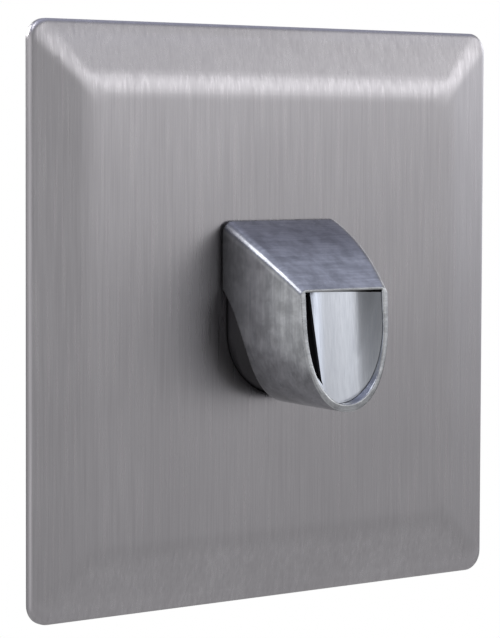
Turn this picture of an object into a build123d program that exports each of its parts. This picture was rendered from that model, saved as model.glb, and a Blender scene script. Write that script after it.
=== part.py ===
"""One-gang two-way rocker wall switch on a square screwless plate.

Frame, in millimetres: the origin is the plate's centre on the wall plane.
+X is right as the user faces the switch, +Z is up, and +Y goes into the wall,
so the plate's face and the rocker stand at negative Y.
"""

import math
import os

from build123d import *

os.makedirs("parts", exist_ok=True)

# ---------------------------------------------------------------- dimensions
# cover plate: pressed metal square with a wide bevel
plate_size = 86.0
plate_corner_r = 3.0
plate_lip = 1.1
plate_front = 3.0
bevel_width = 9.0
field_corner_r = 2.0
bevel_roll_r = 19.0
roll_steps = 6
plate_wall = 1.2

# rocker pivot, and the rest tilt of everything that turns on it
pivot_y = 1.0
rest_tilt = 7.0
travel = 14.0

# rocker core: black drum that shows behind the cap
core_r = 12.55
core_half = 9.6
core_side_r = 4.2
core_gap = 0.3
stem_r = 2.8
stem_end = 6.2

# rocker cap: cast metal horn, a U in section that tapers towards the user
cap_rear = 3.6
cap_near = 2.8
cap_far = 18.6
half_near = 11.1
half_far = 8.0
half_swell = 0.8
side_near = 1.5
side_far = 0.0
bottom_near = -12.9
bottom_far = -13.4
cap_fullness = 0.61
top_near = 13.7
top_slope = 0.5935
front_top_y = -18.3
front_top_z = 4.5
front_lean = 0.0741
arch_y = 7.2
arch_z = -6.8
arch_r = 15.3
cap_wall = 0.9
cap_roof = 1.28
roof_rear_z = 14.1
roof_rise = 0.7
edge_near = 2.0
edge_far = 1.1

# pocket in the cap's face, and the finger dish that sits in it
pocket_half = 7.25
pocket_top = 4.15
pocket_bottom = -12.3
pocket_floor = 15.4
web_back = 13.8
dish_edge = 0.25
dish_sag = 1.75
dish_sheet = 0.5
slit_top_x = -6.2
slit_foot = (-3.9, -8.7)
slit_tip = (-3.55, -9.5)
slit_heel = (-4.95, -8.3)
lip_gap = 0.42
dish_mid = 0.5

# see-saw contact on its fulcrum
fulcrum_y = 10.0
contact_tilt = 4.0
contact_thick = 1.2
contact_half = 3.0
contact_arm = 12.0
tip_arm = 9.5

# mouldings of the switch module
module_half_x = 18.5
module_half_z = 21.5
collar_half_x = 13.5
collar_half_z = 14.5
yoke_thick = 1.2
seam_y = 6.0
floor_y = 12.9
base_rear = 14.5
module_screw_x = 15.9
module_screw_z = 18.9

# terminals
block_x = 7.4
block_z = 8.0
block_y = 7.5
wire_r = 1.6
wire_depth = 2.9
clamp_r = 1.75

# fixing to the wall box
fix_half = 30.15
fix_r = 1.75
fix_tip = 13.0
peg_at = 28.5
earth_x = -22.6
earth_z = -21.9


# ------------------------------------------------------------------- helpers
def slab(x_range, y_range, z_range):
    """Plain block between the given limits."""
    x_mid = (x_range[0] + x_range[1]) / 2
    z_mid = (z_range[0] + z_range[1]) / 2
    with BuildPart() as made:
        with BuildSketch(Plane.XZ.offset(-y_range[1])):
            with Locations((x_mid, z_mid)):
                Rectangle(x_range[1] - x_range[0], z_range[1] - z_range[0])
        extrude(amount=y_range[1] - y_range[0])
    return made.part


def rod(start, direction, radius, length):
    """Round bar from start along direction."""
    with BuildPart() as made:
        with BuildSketch(Plane(origin=start, z_dir=direction)):
            Circle(radius)
        extrude(amount=length)
    return made.part


def turned(start, direction, steps):
    """Turned piece: steps are (distance along direction, radius) corners."""
    side = Vector(1, 0, 0) if abs(direction[0]) < 0.5 else Vector(0, 0, 1)
    axis = Vector(*direction)
    plane = Plane(origin=start, x_dir=axis, z_dir=axis.cross(side))
    outline = [(steps[0][0], 0.0), *steps, (steps[-1][0], 0.0)]
    with BuildPart() as made:
        with BuildSketch(plane):
            with BuildLine():
                Polyline(*outline, close=True)
            make_face()
        revolve(axis=Axis(start, direction))
    return made.part


def u_face(half_width, z_top, z_side, z_bottom, fullness):
    """U outline: flat top, straight sides to z_side, then a full round bottom."""
    handle_z = z_side + fullness * (z_bottom - z_side)
    handle_x = fullness * half_width
    with BuildSketch() as outline:
        with BuildLine():
            Polyline(
                (-half_width, z_side),
                (-half_width, z_top),
                (half_width, z_top),
                (half_width, z_side),
            )
            Bezier(
                (half_width, z_side),
                (half_width, handle_z),
                (handle_x, z_bottom),
                (0, z_bottom),
            )
            Bezier(
                (0, z_bottom),
                (-handle_x, z_bottom),
                (-half_width, handle_z),
                (-half_width, z_side),
            )
        make_face()
    return outline.sketch


def cap_section(depth, inset):
    """U section of the cap at this distance from the wall, drawn in by inset."""
    share = (depth - cap_near) / (cap_far - cap_near)
    half_width = half_near + (half_far - half_near) * share
    z_side = side_near + (side_far - side_near) * share
    z_bottom = bottom_near + (bottom_far - bottom_near) * share
    return u_face(half_width - inset, 16.0, z_side, z_bottom + inset, cap_fullness)


def roof_z(y, drop):
    """Height of the cap's sloped roof at y, less a vertical drop."""
    return top_near + top_slope * (y + cap_near) - drop


def crown_z(y):
    """Height of the cap's convex roof at y."""
    share = (y - front_top_y) / (-cap_rear - front_top_y)
    straight = front_top_z + (roof_rear_z - front_top_z) * share
    return straight + 4 * roof_rise * share * (1 - share)


def body_section(depth):
    """Closed section of the cap: round-cornered roof, sides and full round bottom."""
    share = (depth - cap_near) / (cap_far - cap_near)
    swell = 4 * half_swell * max(0.0, share * (1 - share))
    half_width = half_near + (half_far - half_near) * share + swell
    z_side = side_near + (side_far - side_near) * share
    z_bottom = bottom_near + (bottom_far - bottom_near) * share
    z_top = crown_z(-depth)
    corner = edge_near + (edge_far - edge_near) * share
    handle_z = z_side + cap_fullness * (z_bottom - z_side)
    handle_x = cap_fullness * half_width
    flat = half_width - corner
    bend = corner * (1 - math.cos(math.pi / 4))
    with BuildSketch() as outline:
        with BuildLine():
            Line((-half_width, z_side), (-half_width, z_top - corner))
            ThreePointArc(
                (-half_width, z_top - corner),
                (-half_width + bend, z_top - bend),
                (-flat, z_top),
            )
            Line((-flat, z_top), (flat, z_top))
            ThreePointArc(
                (flat, z_top),
                (half_width - bend, z_top - bend),
                (half_width, z_top - corner),
            )
            Line((half_width, z_top - corner), (half_width, z_side))
            Bezier(
                (half_width, z_side),
                (half_width, handle_z),
                (handle_x, z_bottom),
                (0, z_bottom),
            )
            Bezier(
                (0, z_bottom),
                (-handle_x, z_bottom),
                (-half_width, handle_z),
                (-half_width, z_side),
            )
        make_face()
    return outline.sketch


def face_y(z):
    """Y of the cap's leaning front face at height z."""
    return front_top_y - front_lean * (front_top_z - z)


def drum(radius, half_width, side_r):
    """Drum about the pivot axis: U-shaped lower half, square upper half."""
    with BuildPart() as made:
        with BuildSketch(Plane.XZ.offset(-pivot_y)):
            add(u_face(half_width, 0.0, -side_r, -radius, 0.5))
        revolve(axis=Axis((0, pivot_y, 0), (1, 0, 0)))
        add(slab((-20, 20), (-20, 20), (-20, 0)), mode=Mode.INTERSECT)
        with BuildSketch(Plane.YZ):
            with BuildLine():
                ThreePointArc(
                    (pivot_y - radius, 0),
                    (pivot_y, radius),
                    (pivot_y + radius, 0),
                )
                Line((pivot_y + radius, 0), (pivot_y - radius, 0))
            make_face()
        extrude(amount=half_width, both=True)
    return made.part


tilt_c = math.cos(math.radians(rest_tilt))
tilt_s = math.sin(math.radians(rest_tilt))
stem_dir = (0.0, tilt_c, -tilt_s)
pivot = (0.0, pivot_y, 0.0)


def on_stem(t):
    """Point at distance t along the rocker's stem axis."""
    return (0.0, pivot_y + t * tilt_c, -t * tilt_s)


# --------------------------------------------------------------- cover plate
field = plate_size - 2 * bevel_width
inner = plate_size - 2 * plate_wall
inner_field = field - 1.4
ceiling = plate_front - plate_wall
bevel_angle = math.atan((plate_front - plate_lip) / bevel_width)

with BuildPart() as cover_plate:
    with BuildSketch(Plane.XZ):
        RectangleRounded(plate_size, plate_size, plate_corner_r)
    extrude(amount=plate_lip)
    with BuildSketch(Plane.XZ.offset(plate_lip)):
        RectangleRounded(plate_size, plate_size, plate_corner_r)
    for step in range(roll_steps + 1):
        lean = bevel_angle * (1 - step / roll_steps)
        reach = bevel_roll_r * (math.sin(lean) - math.tan(bevel_angle / 2))
        depth = plate_front - bevel_roll_r * (1 - math.cos(lean))
        with BuildSketch(Plane.XZ.offset(depth)):
            RectangleRounded(field + 2 * reach, field + 2 * reach, field_corner_r)
    loft(ruled=True)
    lip_edges = cover_plate.edges().filter_by_position(Axis.Y, -plate_lip, -plate_lip)
    fillet(lip_edges, 0.5)
    with BuildSketch(Plane.XZ):
        RectangleRounded(inner, inner, plate_corner_r - plate_wall)
    extrude(amount=0.15, mode=Mode.SUBTRACT)
    with BuildSketch(Plane.XZ.offset(0.15)):
        RectangleRounded(inner, inner, plate_corner_r - plate_wall)
    with BuildSketch(Plane.XZ.offset(ceiling)):
        RectangleRounded(inner_field, inner_field, field_corner_r)
    loft(ruled=True, mode=Mode.SUBTRACT)
    add(drum(core_r + core_gap, core_half + core_gap, core_side_r), mode=Mode.SUBTRACT)
cover_plate.part.label = "cover_plate"

# ------------------------------------------------- clip frame behind the plate
frame_front = ceiling - 0.05
with BuildPart() as clip_frame:
    with BuildSketch(Plane.XZ.offset(0.1)):
        RectangleRounded(65.0, 65.0, 3.0)
        RectangleRounded(50.0, 50.0, 4.0, mode=Mode.SUBTRACT)
        with Locations((-fix_half, 0), (fix_half, 0)):
            Circle(4.4, mode=Mode.SUBTRACT)
    extrude(amount=frame_front - 0.1)
    for x_sign in (-1, 1):
        for z_sign in (-1, 1):
            peg_start = (x_sign * peg_at, -0.6, z_sign * peg_at)
            peg = [(0, 1.85), (1.95, 1.85), (2.05, 2.2), (2.5, 2.2), (3.3, 1.5)]
            add(turned(peg_start, (0, 1, 0), peg))
            x_mid = x_sign * peg_at
            split = slab(
                (x_mid - 0.4, x_mid + 0.4),
                (0.2, 3.0),
                (z_sign * peg_at - 3, z_sign * peg_at + 3),
            )
            add(split, mode=Mode.SUBTRACT)
clip_frame.part.label = "clip_frame"

# -------------------------------------------------------------- mounting yoke
with BuildPart() as mounting_yoke:
    with BuildSketch(Plane.XZ.offset(-yoke_thick)):
        RectangleRounded(70.0, 70.0, 4.0)
        RectangleRounded(2 * collar_half_x + 0.6, 2 * collar_half_z + 0.6, 1.0, mode=Mode.SUBTRACT)
        with Locations((-fix_half, 0), (fix_half, 0)):
            Circle(2.05, mode=Mode.SUBTRACT)
        with GridLocations(2 * peg_at, 2 * peg_at, 2, 2):
            Circle(1.95, mode=Mode.SUBTRACT)
        with GridLocations(2 * module_screw_x, 2 * module_screw_z, 2, 2):
            Circle(1.27, mode=Mode.SUBTRACT)
        with Locations((earth_x, earth_z)):
            Circle(1.22, mode=Mode.SUBTRACT)
        with Locations((0, 26.5), (0, -26.5)):
            SlotOverall(30.0, 4.0, mode=Mode.SUBTRACT)
    extrude(amount=yoke_thick)
mounting_yoke.part.label = "mounting_yoke"

# ------------------------------------------------- screws into the wall box
with BuildPart() as box_screws:
    for x_sign in (-1, 1):
        head = [(-1.5, 2.2), (-1.2, 2.9), (-0.7, 3.3), (0, 3.3)]
        shank = [(0, 1.95), (1.4, 1.95), (1.4, fix_r), (fix_tip - 0.8, fix_r), (fix_tip, 1.1)]
        add(turned((x_sign * fix_half, 0, 0), (0, 1, 0), head + shank))
        x_mid = x_sign * fix_half
        slot = slab((x_mid - 0.4, x_mid + 0.4), (-2.0, -0.8), (-4, 4))
        add(slot, mode=Mode.SUBTRACT)
box_screws.part.label = "box_screws"

# ----------------------------------------------------- front housing moulding
with BuildPart() as switch_cover:
    add(
        slab(
            (-module_half_x, module_half_x),
            (yoke_thick, seam_y),
            (-module_half_z, module_half_z),
        )
    )
    fillet(switch_cover.edges().filter_by(Axis.Y), 1.5)
    add(
        slab(
            (-collar_half_x, collar_half_x),
            (-1.5, yoke_thick),
            (-collar_half_z, collar_half_z),
        )
    )
    add(slab((-9.95, 9.95), (-5, 10), (-12.95, 12.95)), mode=Mode.SUBTRACT)
    add(rod((-20, pivot_y, 0), (1, 0, 0), 1.02, 40), mode=Mode.SUBTRACT)
    for x_sign in (-1, 1):
        for z_sign in (-1, 1):
            at = (x_sign * module_screw_x, 0, z_sign * module_screw_z)
            add(rod(at, (0, 1, 0), 1.45, 10), mode=Mode.SUBTRACT)
switch_cover.part.label = "switch_cover"

# ------------------------------------------------------ rear housing moulding
with BuildPart() as switch_base:
    add(
        slab(
            (-module_half_x, module_half_x),
            (seam_y, base_rear),
            (-module_half_z, module_half_z),
        )
    )
    fillet(switch_base.edges().filter_by(Axis.Y), 1.5)
    add(slab((-13.6, 13.6), (5, floor_y), (-14.5, 14.5)), mode=Mode.SUBTRACT)
    for x_mid, z_mid in ((-9.25, -13.6), (9.25, -13.6), (-9.25, 13.6)):
        leg_slot = slab(
            (x_mid - 1.95, x_mid + 1.95),
            (floor_y - 1, base_rear + 1),
            (z_mid - 0.8, z_mid + 0.8),
        )
        add(leg_slot, mode=Mode.SUBTRACT)
    for x_sign in (-1, 1):
        for z_sign in (-1, 1):
            at = (x_sign * module_screw_x, 5, z_sign * module_screw_z)
            add(rod(at, (0, 1, 0), 1.45, 12), mode=Mode.SUBTRACT)
    add(slab((-0.8, 0.8), (base_rear - 0.1, 21.0), (-20.0, 20.0)))
switch_base.part.label = "switch_base"

# -------------------------------------------- screws that clamp the mouldings
with BuildPart() as module_screws:
    for x_sign in (-1, 1):
        for z_sign in (-1, 1):
            at = (x_sign * module_screw_x, 0, z_sign * module_screw_z)
            shank = [(-0.2, 1.0), (0.2, 1.25), (base_rear, 1.25)]
            head = [(base_rear, 2.2), (base_rear + 1.0, 2.2), (base_rear + 1.5, 1.5)]
            add(turned(at, (0, 1, 0), shank + head))
            slot = slab(
                (at[0] - 3, at[0] + 3),
                (base_rear + 0.8, base_rear + 2),
                (at[2] - 0.3, at[2] + 0.3),
            )
            add(slot, mode=Mode.SUBTRACT)
module_screws.part.label = "module_screws"

# ---------------------------------------------------------------- pivot pins
with BuildPart() as pivot_pins:
    for x_sign in (-1, 1):
        pin = [(6.0, 0.7), (6.3, 1.0), (13.2, 1.0), (13.4, 0.8)]
        add(turned(pivot, (x_sign, 0, 0), pin))
pivot_pins.part.label = "pivot_pins"


# ----------------------------------------------------------- brass terminals
def terminal(x_mid, y_front, z_mid):
    """Brass block with a wire bore along Z and a clamp screw hole from the rear."""
    with BuildPart() as made:
        add(
            slab(
                (x_mid - block_x / 2, x_mid + block_x / 2),
                (y_front, y_front + block_y),
                (z_mid - block_z / 2, z_mid + block_z / 2),
            )
        )
        fillet(made.edges().filter_by(Axis.Y), 0.6)
        wire_y = y_front + wire_depth
        add(rod((x_mid, wire_y, z_mid - 10), (0, 0, 1), wire_r, 20), mode=Mode.SUBTRACT)
        add(rod((x_mid, wire_y, z_mid), (0, 1, 0), clamp_r + 0.03, 10), mode=Mode.SUBTRACT)
    return made.part


def clamp_screw(x_mid, y_front, z_mid):
    """Slotted clamp screw, backed off so that the wire bore is clear."""
    tip = y_front + wire_depth + wire_r + 0.3
    steps = [
        (0, 1.3),
        (0.3, clamp_r),
        (4.0, clamp_r),
        (4.0, 2.8),
        (5.4, 2.8),
        (5.8, 2.4),
    ]
    with BuildPart() as made:
        add(turned((x_mid, tip, z_mid), (0, 1, 0), steps))
        slot = slab((x_mid - 4, x_mid + 4), (tip + 4.9, tip + 7), (z_mid - 0.4, z_mid + 0.4))
        add(slot, mode=Mode.SUBTRACT)
    return made.part


com_at = (9.1, base_rear, -16.5)
l1_at = (-9.1, base_rear, -16.5)
l2_at = (-9.1, base_rear, 16.5)
earth_at = (earth_x, yoke_thick, earth_z)

with BuildPart() as terminal_com:
    add(terminal(*com_at))
terminal_com.part.label = "terminal_com"

with BuildPart() as terminal_l1:
    add(terminal(*l1_at))
terminal_l1.part.label = "terminal_l1"

with BuildPart() as terminal_l2:
    add(terminal(*l2_at))
terminal_l2.part.label = "terminal_l2"

with BuildPart() as terminal_screws:
    for at in (com_at, l1_at, l2_at):
        add(clamp_screw(*at))
terminal_screws.part.label = "terminal_screws"

# ------------------------------------------------------------ earth terminal
with BuildPart() as earth_terminal:
    add(terminal(*earth_at))
    add(rod((earth_x, 0, earth_z), (0, 1, 0), 1.22, 2.4), mode=Mode.SUBTRACT)
earth_terminal.part.label = "earth_terminal"

with BuildPart() as earth_screw:
    add(clamp_screw(*earth_at))
earth_screw.part.label = "earth_screw"

with BuildPart() as earth_rivet:
    rivet = [(-0.6, 1.4), (-0.4, 1.9), (0, 1.9), (0, 1.2), (2.3, 1.2)]
    add(turned((earth_x, 0, earth_z), (0, 1, 0), rivet))
earth_rivet.part.label = "earth_rivet"

# ------------------------------------------------------------ fixed contacts
strip = (floor_y - 1.0, floor_y)


def fixed_contact(z_sign):
    """Brass strip under one contact tip, with a leg through the floor to its block."""
    near, far, end = sorted((z_sign * 6.6, z_sign * 12.6)), z_sign * 14.2, z_sign * 13.0
    with BuildPart() as made:
        add(slab((-12.0, 2.2), strip, tuple(near)))
        tab = tuple(sorted((z_sign * 12.0, far)))
        add(slab((-12.0, -6.5), strip, tab))
        leg = tuple(sorted((end, far)))
        add(slab((-11.0, -7.5), (floor_y - 0.5, base_rear), leg))
    return made.part


with BuildPart() as contact_l1:
    add(fixed_contact(-1))
contact_l1.part.label = "contact_l1"

with BuildPart() as contact_l2:
    add(fixed_contact(1))
contact_l2.part.label = "contact_l2"

with BuildPart() as fixed_contact_tips:
    for z_sign in (-1, 1):
        tip = [(11.33, 1.5), (11.5, 1.8), (floor_y - 1.0, 1.8)]
        add(turned((0, 0, z_sign * 9.45), (0, 1, 0), tip))
fixed_contact_tips.part.label = "fixed_contact_tips"

# ------------------------------------------- common bridge with the fulcrum
with BuildPart() as common_bridge:
    add(slab((-4.05, 12.5), strip, (-2.0, 2.0)))
    add(slab((7.0, 12.5), strip, (-14.2, 2.0)))
    add(slab((7.5, 11.0), (floor_y - 0.5, base_rear), (-14.2, -13.0)))
    add(slab((-3.0, 3.0), (fulcrum_y, floor_y - 0.5), (-0.45, 0.45)))
    add(rod((-3.0, fulcrum_y, 0), (1, 0, 0), 0.6, 6.0))
    for x_sign in (-1, 1):
        ear = tuple(sorted((x_sign * 3.25, x_sign * 4.05)))
        add(slab(ear, (8.4, floor_y - 0.5), (-1.6, 1.6)))
common_bridge.part.label = "common_bridge"

# -------------------------------------------------------- see-saw contact
lean_c = math.cos(math.radians(contact_tilt))
lean_s = math.sin(math.radians(contact_tilt))
fulcrum = (0.0, fulcrum_y, 0.0)
contact_side = Plane(origin=fulcrum, x_dir=(0, lean_c, lean_s), z_dir=(1, 0, 0))

with BuildPart() as moving_contact:
    with BuildSketch(contact_side):
        with Locations((-contact_thick / 2, 0)):
            Rectangle(contact_thick, 2 * contact_arm)
        Circle(0.65, mode=Mode.SUBTRACT)
    extrude(amount=contact_half, both=True)
    fillet(moving_contact.edges().filter_by(Axis(fulcrum, (0, lean_c, lean_s))), 0.8)
moving_contact.part.label = "moving_contact"

with BuildPart() as moving_contact_tips:
    for q in (-tip_arm, tip_arm):
        foot = (0.0, fulcrum_y - q * lean_s, q * lean_c)
        dome = [(0, 1.5), (0.33, 1.5), (0.47, 1.05), (0.58, 0.55), (0.62, 0.2)]
        add(turned(foot, (0, lean_c, lean_s), dome))
moving_contact_tips.part.label = "moving_contact_tips"

# --------------------------------------------------------------- rocker cap
with BuildPart() as cap_cavity:
    with BuildSketch(Plane.XZ.offset(2.0)):
        add(cap_section(2.0, cap_wall))
    with BuildSketch(Plane.XZ.offset(web_back)):
        add(cap_section(web_back, cap_wall))
    loft(ruled=True)
    with BuildSketch(Plane.YZ):
        with BuildLine():
            Polyline(
                (0.0, -16.0),
                (0.0, roof_z(0.0, cap_roof)),
                (-16.0, roof_z(-16.0, cap_roof)),
                (-16.0, -16.0),
                close=True,
            )
        make_face()
    extrude(amount=14, both=True, mode=Mode.INTERSECT)

with BuildPart() as rocker_cap:
    for depth in (3.2, 7.0, 11.0, 15.0, 19.4):
        with BuildSketch(Plane.XZ.offset(depth)):
            add(body_section(depth))
    loft()
    arch_foot = arch_y - math.sqrt(arch_r**2 - (-15.0 - arch_z) ** 2)
    arch_head = arch_z + math.sqrt(arch_r**2 - (arch_y + cap_rear) ** 2)
    with BuildSketch(Plane.YZ):
        with BuildLine():
            Polyline(
                (-cap_rear, arch_head),
                (-cap_rear, 16.0),
                (face_y(16.0), 16.0),
                (face_y(-15.0), -15.0),
                (arch_foot, -15.0),
            )
            ThreePointArc(
                (arch_foot, -15.0),
                (arch_y - arch_r, arch_z),
                (-cap_rear, arch_head),
            )
        make_face()
    extrude(amount=14, both=True, mode=Mode.INTERSECT)
    add(cap_cavity.part, mode=Mode.SUBTRACT)
    with BuildSketch(Plane.XZ.offset(pocket_floor)):
        add(u_face(pocket_half, pocket_top, 0.0, pocket_bottom, cap_fullness))
    extrude(amount=8, mode=Mode.SUBTRACT)
    csk = [(-16.0, 2.4), (-15.4, 2.4), (-14.3, 1.35), (-13.0, 1.35)]
    add(turned((0, 0, -3.5), (0, 1, 0), csk), mode=Mode.SUBTRACT)
rocker_cap.part.label = "rocker_cap"

# ----------------------------------------- finger dish and its black carrier
face_len = math.hypot(1.0, front_lean)
face_up = (0.0, front_lean / face_len, 1.0 / face_len)
face_out = (0.0, -1.0 / face_len, front_lean / face_len)
dish_plane = Plane(origin=(0, face_y(-20.0), -20.0), x_dir=(1, 0, 0), z_dir=face_up)
out_sign = 1.0 if dish_plane.y_dir.dot(Vector(*face_out)) > 0 else -1.0
dish_reach = 6.75

with BuildPart() as dish_outline:
    with BuildSketch(Plane.XZ.offset(pocket_floor)):
        add(u_face(pocket_half - 0.06, pocket_top - 0.06, 0.0, pocket_bottom + 0.06, cap_fullness))
        with BuildLine():
            Polyline(
                (slit_top_x, 6.0),
                (slit_top_x, pocket_top - 0.06),
                slit_foot,
                slit_tip,
                slit_heel,
                (-9.0, slit_heel[1]),
                (-9.0, 6.0),
                close=True,
            )
        make_face(mode=Mode.SUBTRACT)
        with BuildLine():
            Polyline(
                (slit_top_x, pocket_top - 0.06),
                (9.0, pocket_top - 0.06 - lip_gap),
                (9.0, 6.0),
                (slit_top_x, 6.0),
                close=True,
            )
        make_face(mode=Mode.SUBTRACT)
    extrude(amount=8)

with BuildPart() as finger_dish:
    edge_in = -out_sign * dish_edge
    deep_in = -out_sign * (dish_edge + dish_sag)
    sheet = -out_sign * dish_sheet
    with BuildSketch(dish_plane):
        with BuildLine():
            left, right = dish_mid - dish_reach, dish_mid + dish_reach
            ThreePointArc((left, edge_in), (dish_mid, deep_in), (right, edge_in))
            Line((right, edge_in), (right, edge_in + sheet))
            ThreePointArc(
                (right, edge_in + sheet),
                (dish_mid, deep_in + sheet),
                (left, edge_in + sheet),
            )
            Line((left, edge_in + sheet), (left, edge_in))
        make_face()
    extrude(amount=40)
    add(dish_outline.part, mode=Mode.INTERSECT)
finger_dish.part.label = "finger_dish"

with BuildPart() as dish_carrier:
    with BuildSketch(Plane.XZ.offset(pocket_floor + 0.03)):
        add(
            u_face(
                pocket_half - 0.1,
                pocket_top - 0.1,
                0.0,
                pocket_bottom + 0.1,
                cap_fullness,
            )
        )
    extrude(amount=6)
    carrier_drop = dish_edge + dish_sag + dish_sheet + 0.04
    with BuildSketch(Plane.YZ):
        with BuildLine():
            Polyline(
                (-10.0, 10.0),
                (face_y(10.0) + carrier_drop, 10.0),
                (face_y(-16.0) + carrier_drop, -16.0),
                (-10.0, -16.0),
                close=True,
            )
        make_face()
    extrude(amount=12, both=True, mode=Mode.INTERSECT)
dish_carrier.part.label = "dish_carrier"

with BuildPart() as cap_screw:
    steps = [(-15.38, 2.2), (-14.28, 1.15), (-8.2, 1.15), (-7.6, 0.6)]
    add(turned((0, 0, -3.5), (0, 1, 0), steps))
    add(slab((-0.3, 0.3), (-17, -14.9), (-6.5, -0.5)), mode=Mode.SUBTRACT)
    add(slab((-3, 3), (-17, -14.9), (-3.8, -3.2)), mode=Mode.SUBTRACT)
cap_screw.part.label = "cap_screw"

# -------------------------------------------------------------- rocker core
with BuildPart() as core_front:
    with BuildSketch(Plane.XZ.offset(plate_front)):
        add(cap_section(plate_front, cap_wall + 0.12))
    with BuildSketch(Plane.XZ.offset(web_back - 0.1)):
        add(cap_section(web_back - 0.1, cap_wall + 0.12))
    loft(ruled=True)
    with BuildSketch(Plane.YZ):
        with BuildLine():
            Polyline(
                (-2.0, -16.0),
                (-2.0, roof_z(-2.0, cap_roof + 0.15)),
                (-15.0, roof_z(-15.0, cap_roof + 0.15)),
                (-15.0, -16.0),
                close=True,
            )
        make_face()
    extrude(amount=14, both=True, mode=Mode.INTERSECT)

with BuildPart() as core_reach:
    with BuildSketch(Plane.YZ):
        rear = 1.8
        with BuildLine():
            Polyline(
                (-plate_front, -14.0),
                (pivot_y + rear * tilt_c - 14.0 * tilt_s, -rear * tilt_s - 14.0 * tilt_c),
                (pivot_y + rear * tilt_c + 14.0 * tilt_s, -rear * tilt_s + 14.0 * tilt_c),
                (-plate_front, 14.0),
                close=True,
            )
        make_face()
    extrude(amount=14, both=True)
    add(core_front.part)

with BuildPart() as core_plug:
    add(core_front.part)
    add(slab((-20, 20), (-20, -8.35), (-20, 20)), mode=Mode.INTERSECT)

with BuildPart() as rocker_core:
    add(drum(core_r, core_half, core_side_r))
    add(core_reach.part, mode=Mode.INTERSECT)
    add(core_plug.part)
    add(rod(pivot, stem_dir, stem_r, stem_end))
    add(rod(on_stem(-5.0), stem_dir, 1.55, 12), mode=Mode.SUBTRACT)
    for x_sign in (-1, 1):
        bearing = rod((x_sign * 5.8, pivot_y, 0), (x_sign, 0, 0), 1.05, 8)
        add(bearing, mode=Mode.SUBTRACT)
    add(rod((0, -20, -3.5), (0, 1, 0), 1.17, 13), mode=Mode.SUBTRACT)
rocker_core.part.label = "rocker_core"

# --------------------------------------------------------- plunger and spring
plunger_side = Plane(origin=pivot, x_dir=stem_dir, z_dir=(1, 0, 0))
with BuildPart() as plunger:
    with BuildSketch(plunger_side):
        with BuildLine():
            Polyline((1.2, 0), (1.2, 0.75), (2.8, 0.75), (2.8, 1.5), (6.26, 1.5))
            ThreePointArc(
                (6.26, 1.5),
                (6.26 + 1.5 * math.cos(math.pi / 4), 1.5 * math.sin(math.pi / 4)),
                (7.76, 0),
            )
            Line((7.76, 0), (1.2, 0))
        make_face()
    revolve(axis=Axis(pivot, stem_dir))
plunger.part.label = "plunger"

spring_wire = 0.2
spring_mean = 1.1
spring_low = -4.9 + spring_wire
spring_high = 2.75 - spring_wire
with BuildPart() as detent_spring:
    with BuildLine() as coil:
        Helix(
            pitch=0.95,
            height=spring_high - spring_low,
            radius=spring_mean,
            center=on_stem(spring_low),
            direction=stem_dir,
        )
    with BuildSketch(Plane(origin=coil.line @ 0, z_dir=coil.line % 0)):
        Circle(spring_wire)
    sweep(path=coil.line, is_frenet=True)
detent_spring.part.label = "detent_spring"

# ------------------------------------------------------------------- export
for piece in (
    cover_plate,
    clip_frame,
    mounting_yoke,
    box_screws,
    switch_cover,
    switch_base,
    module_screws,
    pivot_pins,
    terminal_com,
    terminal_l1,
    terminal_l2,
    terminal_screws,
    earth_terminal,
    earth_screw,
    earth_rivet,
    contact_l1,
    contact_l2,
    fixed_contact_tips,
    common_bridge,
    moving_contact,
    moving_contact_tips,
    rocker_cap,
    finger_dish,
    dish_carrier,
    cap_screw,
    rocker_core,
    plunger,
    detent_spring,
):
    export_step(piece.part, "parts/" + piece.part.label + ".step")
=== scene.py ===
import math

import bpy
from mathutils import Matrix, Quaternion, Vector


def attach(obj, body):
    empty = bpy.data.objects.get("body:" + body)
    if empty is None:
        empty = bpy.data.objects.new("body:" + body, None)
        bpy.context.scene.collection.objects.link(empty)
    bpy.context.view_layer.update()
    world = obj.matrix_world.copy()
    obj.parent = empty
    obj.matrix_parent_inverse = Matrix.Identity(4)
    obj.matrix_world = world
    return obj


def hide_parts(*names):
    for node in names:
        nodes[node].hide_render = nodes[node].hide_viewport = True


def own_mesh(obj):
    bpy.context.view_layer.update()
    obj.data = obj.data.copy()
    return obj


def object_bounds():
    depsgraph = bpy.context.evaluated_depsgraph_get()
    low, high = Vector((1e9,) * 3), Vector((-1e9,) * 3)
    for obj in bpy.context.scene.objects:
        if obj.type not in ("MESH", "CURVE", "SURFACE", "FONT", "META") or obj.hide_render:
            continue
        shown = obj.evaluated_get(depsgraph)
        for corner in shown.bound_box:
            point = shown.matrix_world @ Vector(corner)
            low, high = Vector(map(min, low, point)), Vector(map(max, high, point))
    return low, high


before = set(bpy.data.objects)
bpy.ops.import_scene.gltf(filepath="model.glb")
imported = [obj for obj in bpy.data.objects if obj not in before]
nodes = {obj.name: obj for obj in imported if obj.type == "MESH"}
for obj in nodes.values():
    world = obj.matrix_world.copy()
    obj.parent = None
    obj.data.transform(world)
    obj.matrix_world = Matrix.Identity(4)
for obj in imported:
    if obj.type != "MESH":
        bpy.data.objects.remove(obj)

MM_PER_M = 1000.0

cad_low, cad_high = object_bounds()
scene = bpy.context.scene
scene.view_settings.view_transform = "Standard"


# ------------------------------------------------------------ shader building
def scaled(colour, share):
    return tuple(share * c for c in colour)


def lightened(colour, gain, lift=0.0):
    return tuple(min(1.0, c * gain + lift) for c in colour)


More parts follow.
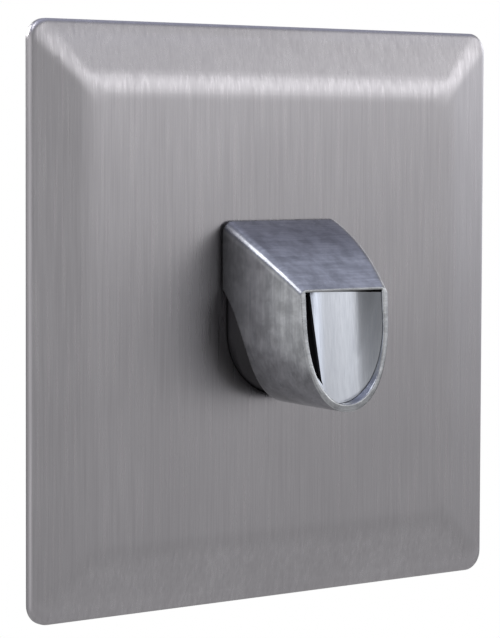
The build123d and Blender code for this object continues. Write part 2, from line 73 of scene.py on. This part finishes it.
class Tree:
    """A small wrapper that adds nodes to one node tree and links them."""

    def __init__(self, tree):
        self.tree = tree
        self.tree.nodes.clear()

    def add(self, kind, **values):
        node = self.tree.nodes.new(kind)
        for key, value in values.items():
            setattr(node, key, value)
        return node

    def link(self, source, target):
        self.tree.links.new(source, target)

    def feed(self, value, socket):
        """Sets a number or a colour on a socket, or links another node's output to it."""
        if isinstance(value, (int, float)):
            socket.default_value = value
        elif isinstance(value, tuple):
            socket.default_value = (*value, 1.0)
        else:
            self.link(value, socket)

    def math(self, kind, a, b):
        node = self.add("ShaderNodeMath", operation=kind)
        self.feed(a, node.inputs[0])
        self.feed(b, node.inputs[1])
        return node.outputs[0]

    def weigh(self, a, weight_a, b, weight_b):
        return self.math(
            "ADD", self.math("MULTIPLY", a, weight_a), self.math("MULTIPLY", b, weight_b)
        )

    def mix(self, factor, a, b, kind="MIX"):
        """Colour a where factor is 0 and b, or b laid over a as kind says, where it is 1."""
        node = self.add("ShaderNodeMix", data_type="RGBA", blend_type=kind)
        self.feed(factor, node.inputs["Factor"])
        self.feed(a, node.inputs[6])
        self.feed(b, node.inputs[7])
        return node.outputs[2]

    def spread(self, value, low, high, between=(0.3, 0.7), kind="LINEAR"):
        """Maps the part of value that lies between two levels onto low..high."""
        node = self.add("ShaderNodeMapRange", interpolation_type=kind)
        node.inputs["From Min"].default_value = between[0]
        node.inputs["From Max"].default_value = between[1]
        node.inputs["To Min"].default_value = low
        node.inputs["To Max"].default_value = high
        self.link(value, node.inputs["Value"])
        return node.outputs["Result"]

    def split(self, vector):
        """X, Y and Z of a vector, by name."""
        node = self.add("ShaderNodeSeparateXYZ")
        self.link(vector, node.inputs[0])
        return node.outputs


class Look(Tree):
    """The node tree of one new material, with a principled shader as its surface."""

    def __init__(self, name):
        self.material = bpy.data.materials.new(name)
        self.material.use_nodes = True
        super().__init__(self.material.node_tree)
        self.out = self.add("ShaderNodeOutputMaterial")
        self.shader = self.add("ShaderNodeBsdfPrincipled")
        self.link(self.shader.outputs["BSDF"], self.out.inputs["Surface"])
        where = self.add("ShaderNodeTexCoord")
        self.place = where.outputs["Object"]
        self.facing = where.outputs["Normal"]

    def noise(self, scale, detail=4.0, roughness=0.55):
        """Noise with scale features per millimetre: one number, or one for each axis."""
        if isinstance(scale, (int, float)):
            scale = [scale] * 3
        mapping = self.add("ShaderNodeMapping")
        mapping.inputs["Scale"].default_value = [MM_PER_M * s for s in scale]
        self.link(self.place, mapping.inputs["Vector"])
        noise = self.add("ShaderNodeTexNoise")
        noise.inputs["Scale"].default_value = 1.0
        noise.inputs["Detail"].default_value = detail
        noise.inputs["Roughness"].default_value = roughness
        self.link(mapping.outputs["Vector"], noise.inputs["Vector"])
        return noise.outputs["Fac"]

    def edge(self, radius_mm):
        """1 along convex and concave edges, 0 on open faces."""
        normal = self.softened(radius_mm, samples=4)
        geometry = self.add("ShaderNodeNewGeometry")
        dot = self.add("ShaderNodeVectorMath", operation="DOT_PRODUCT")
        self.link(normal, dot.inputs[0])
        self.link(geometry.outputs["Normal"], dot.inputs[1])
        turned_away = self.math("SUBTRACT", 1.0, dot.outputs["Value"])
        return self.spread(turned_away, 0.0, 1.0, (0.02, 0.35))

    def corner_shade_mask(self, reach_mm, between):
        """1 in the open, falling to 0 in corners: a mask for painted shade."""
        corner = self.add("ShaderNodeAmbientOcclusion", samples=8)
        corner.inputs["Distance"].default_value = reach_mm / MM_PER_M
        return self.spread(corner.outputs["AO"], 0.0, 1.0, between)

    def softened(self, radius_mm, samples=8):
        """Surface normal rounded over edges, as polishing leaves them."""
        bevel = self.add("ShaderNodeBevel", samples=samples)
        bevel.inputs["Radius"].default_value = radius_mm / MM_PER_M
        return bevel.outputs["Normal"]

    def flank_share(self):
        """1 on faces that look along x, 0 on faces that look across it."""
        return self.math("ABSOLUTE", self.split(self.facing)["X"], 0.0)

    def bump(self, height, distance_mm, after=None):
        node = self.add("ShaderNodeBump")
        node.inputs["Strength"].default_value = 1.0
        node.inputs["Distance"].default_value = distance_mm / MM_PER_M
        self.link(height, node.inputs["Height"])
        if after is not None:
            self.link(after, node.inputs["Normal"])
        return node.outputs["Normal"]

    def set(self, name, value):
        self.feed(value, self.shader.inputs[name])


# ------------------------------------------------------------------- materials
def brushed_metal(
    name,
    colour,
    dark,
    rough,
    along,
    fine,
    length,
    anisotropy,
    groove,
    worn,
    wear,
    tangent=None,
    mottle=0.0,
    soften=0.0,
    flank=None,
    painted_flank_shade=None,
):
    """Brushed metal with its grain along one axis ('x', 'y' or 'z').

    fine is brush lines per millimetre across the grain, length is millimetres along
    it and groove is their depth in millimetres. Faces that look along x take their
    grain along flank instead, where it is given. The last argument paints shade onto
    only those faces, darkest in corners that ambient occlusion finds: how far from a
    corner in millimetres, how dark the painted shade gets, and the depths in front of
    the wall in millimetres between which that ends.
    """
    m = Look(name)

    def brushing(axis):
        lines = [fine] * 3
        lines["xyz".index(axis)] = 1.0 / length
        broad_lines = [0.32 * fine] * 3
        broad_lines["xyz".index(axis)] = 1.0 / (length * 0.9)
        grain = m.noise(lines, detail=3.0, roughness=0.6)
        broad_grain = m.noise(broad_lines, detail=3.0)
        return m.weigh(grain, 0.6, broad_grain, 0.4)

    brush = brushing(along)
    if flank:
        share = m.spread(m.flank_share(), 0.0, 1.0, (0.45, 0.75))
        brush = m.weigh(brush, m.math("SUBTRACT", 1.0, share), brushing(flank), share)
    tone = m.mix(m.spread(brush, 0.0, 1.0, (0.36, 0.64)), dark, colour)
    cloud = m.noise(0.06, detail=3.0, roughness=0.5)
    tone = m.mix(m.spread(cloud, 0.22, 0.0, (0.35, 0.65)), tone, scaled(dark, 0.9))
    if mottle:
        blotch = m.noise(0.42, detail=5.0, roughness=0.62)
        tone = m.mix(m.spread(blotch, mottle, 0.0, (0.36, 0.62)), tone, scaled(dark, 0.45))
    scuff = m.spread(m.noise(1.6), 0.2, 1.0, (0.4, 0.6))
    rubbed = m.math("MULTIPLY", m.edge(0.35), scuff)
    tone = m.mix(m.math("MULTIPLY", rubbed, wear), tone, worn)
    # Painted shade: flanks near the wall are darkened where ambient occlusion finds corners,
    # in place of the shadow and dark reflection beside the rocker's base.
    if painted_flank_shade:
        reach_mm, depth, (end_mm, front_mm) = painted_flank_shade
        unoccluded_share = m.corner_shade_mask(reach_mm, (0.55, 0.97))
        ends_m = (-front_mm / MM_PER_M, -end_mm / MM_PER_M)
        near_user = m.spread(m.split(m.place)["Y"], 1.0, 0.0, ends_m)
        not_flank = m.spread(m.flank_share(), 1.0, 0.0, (0.35, 0.75))
        clear = m.math("MAXIMUM", m.math("MAXIMUM", unoccluded_share, near_user), not_flank)
        tone = m.mix(clear, scaled(dark, depth), tone)
    m.set("Base Color", tone)
    m.set("Metallic", 1.0)
    m.set("Roughness", m.spread(brush, rough * 1.16, rough * 0.84, (0.34, 0.66)))
    m.set("Anisotropic", anisotropy)
    if tangent:
        node = m.add("ShaderNodeTangent", direction_type="RADIAL", axis=tangent)
        m.set("Tangent", node.outputs["Tangent"])
    m.set("Normal", m.bump(brush, groove, after=m.softened(soften) if soften else None))
    return m.material


def moulded(name, colour, shade, rough, sheen=0.5, wear=0.25, coat=0.0):
    """Moulded plastic: fine grain, slow colour drift, lighter rubbed edges."""
    m = Look(name)
    fine = m.noise(2.2, detail=5.0, roughness=0.6)
    drift = m.noise(0.09, detail=3.0)
    tone = m.mix(m.spread(drift, 0.0, 1.0, (0.35, 0.65)), colour, shade)
    speck = m.noise(3.5, detail=2.0)
    tone = m.mix(m.spread(speck, 0.0, 0.18, (0.55, 0.75)), tone, scaled(shade, 0.7))
    rubbed = m.math("MULTIPLY", m.edge(0.3), wear)
    tone = m.mix(rubbed, tone, lightened(colour, 1.25, 0.03))
    m.set("Base Color", tone)
    m.set("Roughness", m.spread(fine, rough * 0.85, rough * 1.15))
    m.set("Specular IOR Level", sheen)
    if coat:
        m.set("Coat Weight", coat)
        m.set("Coat Roughness", 0.2)
    m.set("Normal", m.bump(fine, 0.01))
    return m.material


def cast_or_turned(name, colour, dark, rough, rings=None, stain_colour=None):
    """Plated, turned or rolled metal: fine grain, cloudy stains, bright worn edges.

    rings is the axis across which a lathe or a roll left its fine lines.
    """
    m = Look(name)
    fine = m.noise(3.0, detail=5.0, roughness=0.6)
    cloud = m.noise(0.25, roughness=0.6)
    tone = m.mix(m.spread(fine, 0.0, 1.0), dark, colour)
    stain = m.spread(cloud, 0.25, 0.0, (0.35, 0.6))
    tone = m.mix(stain, tone, stain_colour or scaled(dark, 0.6))
    rubbed = m.math("MULTIPLY", m.edge(0.25), 0.45)
    tone = m.mix(rubbed, tone, lightened(colour, 1.2))
    m.set("Base Color", tone)
    m.set("Metallic", 1.0)
    m.set("Roughness", m.spread(cloud, rough * 1.25, rough * 0.8))
    height = fine
    if rings:
        bands = m.noise([12.0 if axis in rings else 0.4 for axis in "xyz"], detail=2.0)
        height = m.weigh(fine, 0.5, bands, 0.5)
    m.set("Normal", m.bump(height, 0.008))
    return m.material


materials = {
    "plate_metal": brushed_metal(
        "plate_brushed_steel",
        (0.600, 0.583, 0.611),
        (0.496, 0.479, 0.505),
        0.30,
        "z",
        fine=4.2,
        length=17.0,
        anisotropy=0.55,
        tangent="Z",
        groove=0.007,
        worn=(0.74, 0.73, 0.74),
        wear=0.25,
        soften=0.8,
    ),
    "cap_metal": brushed_metal(
        "cap_satin_chrome",
        (0.660, 0.672, 0.695),
        (0.450, 0.462, 0.490),
        0.24,
        "x",
        fine=2.6,
        length=9.0,
        anisotropy=0.3,
        groove=0.012,
        mottle=0.52,
        worn=(0.86, 0.87, 0.88),
        wear=0.45,
        soften=0.45,
        flank="z",
        # painted shade on the cap's flanks near the wall
        painted_flank_shade=(15.0, 0.10, (12.0, 15.2)),
    ),
    "dish_metal": brushed_metal(
        "dish_bright_steel",
        (0.785, 0.815, 0.885),
        (0.655, 0.685, 0.760),
        0.16,
        "z",
        fine=5.5,
        length=10.0,
        anisotropy=0.4,
        tangent="Z",
        groove=0.006,
        worn=(0.9, 0.91, 0.92),
        wear=0.3,
    ),
    "black_moulding": moulded(
        "black_matt_moulding", (0.022, 0.020, 0.024), (0.013, 0.012, 0.014), 0.55, wear=0.2
    ),
    "frame_nylon": moulded(
        "natural_nylon", (0.62, 0.60, 0.54), (0.56, 0.535, 0.47), 0.42, sheen=0.45
    ),
    "housing_plastic": moulded(
        "offwhite_urea", (0.78, 0.765, 0.715), (0.70, 0.685, 0.625), 0.36, coat=0.1
    ),
    "plunger_nylon": moulded("white_acetal", (0.84, 0.83, 0.79), (0.77, 0.76, 0.71), 0.25),
    "yoke_steel": cast_or_turned(
        "zinc_plated_yoke", (0.66, 0.66, 0.63), (0.52, 0.525, 0.515), 0.34,
        stain_colour=(0.44, 0.42, 0.33),
    ),
    "screw_steel": cast_or_turned(
        "zinc_plated_screw", (0.64, 0.64, 0.62), (0.48, 0.48, 0.47), 0.30, rings="y"
    ),
    "pin_steel": cast_or_turned(
        "ground_pin_steel", (0.68, 0.68, 0.69), (0.55, 0.55, 0.57), 0.2
    ),
    "spring_steel": cast_or_turned(
        "drawn_spring_steel", (0.5, 0.5, 0.52), (0.36, 0.36, 0.38), 0.3
    ),
    "brass": cast_or_turned(
        "machined_brass", (0.78, 0.60, 0.28), (0.60, 0.43, 0.17), 0.27, rings="z",
        stain_colour=(0.32, 0.20, 0.08),
    ),
    "contact_brass": cast_or_turned(
        "rolled_contact_brass", (0.80, 0.55, 0.31), (0.63, 0.40, 0.20), 0.3,
        stain_colour=(0.34, 0.18, 0.09),
    ),
    "contact_silver": cast_or_turned(
        "silver_tip", (0.84, 0.83, 0.80), (0.70, 0.69, 0.66), 0.3
    ),
}

wanted = {
    "cover_plate": "plate_metal",
    "clip_frame": "frame_nylon",
    "mounting_yoke": "yoke_steel",
    "box_screws": "screw_steel",
    "switch_cover": "housing_plastic",
    "switch_base": "housing_plastic",
    "module_screws": "screw_steel",
    "pivot_pins": "pin_steel",
    "terminal_com": "brass",
    "terminal_l1": "brass",
    "terminal_l2": "brass",
    "terminal_screws": "screw_steel",
    "earth_terminal": "brass",
    "earth_screw": "screw_steel",
    "earth_rivet": "brass",
    "contact_l1": "contact_brass",
    "contact_l2": "contact_brass",
    "fixed_contact_tips": "contact_silver",
    "common_bridge": "contact_brass",
    "moving_contact": "contact_brass",
    "moving_contact_tips": "contact_silver",
    "rocker_cap": "cap_metal",
    "finger_dish": "dish_metal",
    "dish_carrier": "black_moulding",
    "cap_screw": "screw_steel",
    "rocker_core": "black_moulding",
    "plunger": "plunger_nylon",
    "detent_spring": "spring_steel",
}
for node_name, slot_name in wanted.items():
    mesh = nodes[node_name].data
    mesh.materials.clear()
    mesh.materials.append(materials[slot_name])

coil = bpy.data.objects.new("detent_spring_coil", nodes["detent_spring"].data.copy())
coil.matrix_world = nodes["detent_spring"].matrix_world
scene.collection.objects.link(coil)
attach(coil, "rocker")
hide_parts("detent_spring")
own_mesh(coil)

# ------------------- the stage: a white floor that fades into the white background
FLOOR_DROP = 0.16  # metres below the plate
FLOOR_RADIUS = 3.0  # metres
FADE_ENDS = (0.05, 0.5)  # metres from the middle
GLOW_NEAR, GLOW_FAR = 0.6, 1.0

bpy.ops.mesh.primitive_circle_add(
    vertices=96, radius=FLOOR_RADIUS, fill_type="NGON", location=(0, 0, cad_low.z - FLOOR_DROP)
)
floor = bpy.context.object
floor.name = "studio_floor"
floor_look = Look("studio_floor")
floor_look.set("Base Color", (0.9, 0.9, 0.9))
floor_look.set("Roughness", 0.9)
glow = floor_look.add("ShaderNodeEmission")
glow.inputs["Strength"].default_value = 1.0
from_middle = floor_look.add("ShaderNodeVectorMath", operation="LENGTH")
floor_look.link(floor_look.place, from_middle.inputs[0])
fade = floor_look.spread(from_middle.outputs["Value"], GLOW_NEAR, GLOW_FAR, FADE_ENDS)
blend = floor_look.add("ShaderNodeMixShader")
floor_look.link(fade, blend.inputs["Fac"])
floor_look.link(floor_look.shader.outputs["BSDF"], blend.inputs[1])
floor_look.link(glow.outputs["Emission"], blend.inputs[2])
floor_look.link(blend.outputs["Shader"], floor_look.out.inputs["Surface"])
floor.data.materials.append(floor_look.material)
floor.visible_glossy = False
floor.visible_diffuse = False

# --------------------------------------------------------------- soft studio
world = bpy.data.worlds.new("studio")
scene.world = world
world.use_nodes = True
sky = Tree(world.node_tree)
direction = sky.add("ShaderNodeTexCoord").outputs["Generated"]
height = sky.spread(sky.split(direction)["Z"], 0.0, 1.0, (-1.0, 1.0))


def ramp_over_height(stops, tint):
    """Brightness at each elevation in degrees, eased between the stops."""
    ramp = sky.add("ShaderNodeValToRGB")
    ramp.color_ramp.interpolation = "EASE"
    items = ramp.color_ramp.elements
    while len(items) < len(stops):
        items.new(0.5)
    for item, (elevation, value) in zip(items, stops):
        item.position = (math.sin(math.radians(elevation)) + 1) / 2
        item.color = (*[value * share for share in tint], 1)
    sky.link(height, ramp.inputs["Fac"])
    return ramp.outputs["Color"]


def toward(azimuth, outer, inner):
    """1 within inner degrees of an azimuth, 0 beyond outer degrees of it."""
    facing = sky.add("ShaderNodeVectorMath", operation="DOT_PRODUCT")
    turn_to = math.radians(azimuth)
    facing.inputs[1].default_value = (math.sin(turn_to), -math.cos(turn_to), 0)
    sky.link(direction, facing.inputs[0])
    window = (math.cos(math.radians(outer)), math.cos(math.radians(inner)))
    return sky.spread(facing.outputs["Value"], 0.0, 1.0, window, kind="SMOOTHSTEP")


WHITE = (1.0, 1.0, 1.0)
ALL_ROUND = None
ROOM_STOPS = [
    (-90, 0.42), (-32, 0.46), (-14, 0.39), (-4, 0.41), (2, 0.57),
    (9, 0.54), (26, 0.38), (40, 0.0), (90, 0.0),
]
# Each layer over the room: how it is laid, the azimuth window (toward, outer, inner)
# in degrees, its brightness at each elevation, and its tint.
LAYERS = {
    "ceiling": (
        "ADD", ALL_ROUND,
        [(26, 0.0), (40, 0.41), (60, 0.56), (90, 0.62)], (0.93, 0.97, 1.20),
    ),
    "window": (
        "ADD", (62, 72, 24),
        [(-4, 0.0), (3, 0.22), (9, 1.15), (14, 1.15), (22, 0.10), (32, 0.0)], WHITE,
    ),
    "left_wall": (
        "ADD", (-75, 56, 20),
        [(-40, 0.0), (-18, 0.27), (18, 0.27), (45, 0.0)], WHITE,
    ),
    "right_wall": (
        "ADD", (98, 34, 8),
        [(-8, 0.0), (1, 0.6), (12, 0.6), (22, 0.0)], (0.92, 0.98, 1.10),
    ),
    "dark_door": (
        "MULTIPLY", (-4, 22, 16),
        [(1, 1.0), (4, 0.08), (10, 0.08), (16, 1.0)], WHITE,
    ),
}
room = ramp_over_height(ROOM_STOPS, WHITE)
for kind, window, stops, tint in LAYERS.values():
    share = 1.0 if window is ALL_ROUND else toward(*window)
    room = sky.mix(share, room, ramp_over_height(stops, tint), kind)

# Rays from the camera see plain white; everything else sees the room.
seen = sky.add("ShaderNodeBackground")
sky.link(room, seen.inputs["Color"])
plain = sky.add("ShaderNodeBackground")
plain.inputs["Color"].default_value = (*WHITE, 1.0)
path = sky.add("ShaderNodeLightPath")
pick = sky.add("ShaderNodeMixShader")
sky.link(path.outputs["Is Camera Ray"], pick.inputs["Fac"])
sky.link(seen.outputs["Background"], pick.inputs[1])
sky.link(plain.outputs["Background"], pick.inputs[2])
sky_out = sky.add("ShaderNodeOutputWorld")
sky.link(pick.outputs["Shader"], sky_out.inputs["Surface"])


def softbox(name, place, distance, size, power):
    """Rectangular soft light that shines at the plate from the direction of place."""
    light = bpy.data.lights.new(name, "AREA")
    light.shape = "RECTANGLE"
    light.size, light.size_y = size
    light.energy = power
    holder = bpy.data.objects.new(name, light)
    scene.collection.objects.link(holder)
    way = Vector(place).normalized()
    holder.location = way * distance
    holder.rotation_mode = "QUATERNION"
    holder.rotation_quaternion = way.to_track_quat("Z", "Y")


softbox("overhead_left", (-0.50, -0.10, 0.88), distance=0.9, size=(0.45, 0.40), power=1.5)
softbox("rear_fill", (-0.35, 0.85, 0.42), distance=1.1, size=(0.6, 0.5), power=6.0)

# ---------------- the camera, solved from the plate's four corners in the photograph
CAMERA_AT = (-0.238834, -0.307474, 0.025960)  # metres
CAMERA_TURN = -37.46  # degrees about the vertical
CAMERA_DOWN = 2.967  # degrees below the horizon
CAMERA_ROLL = 0.217  # degrees
SENSOR_MM = 36.0
LENS_MM = 145.88
LENS_SHIFT_Y = -0.0704


def turn_about(axis, degrees):
    return Quaternion(axis, math.radians(degrees))


camera = bpy.data.cameras.new("camera")
camera.sensor_width = SENSOR_MM
camera.lens = LENS_MM
camera.shift_y = LENS_SHIFT_Y
camera.clip_start = 0.01
camera.clip_end = 50.0
holder = bpy.data.objects.new("camera", camera)
scene.collection.objects.link(holder)
holder.location = CAMERA_AT
holder.rotation_mode = "QUATERNION"
holder.rotation_quaternion = (
    turn_about((0, 0, 1), CAMERA_TURN)
    @ turn_about((1, 0, 0), 90 - CAMERA_DOWN)
    @ turn_about((0, 0, 1), CAMERA_ROLL)
)
scene.camera = holder
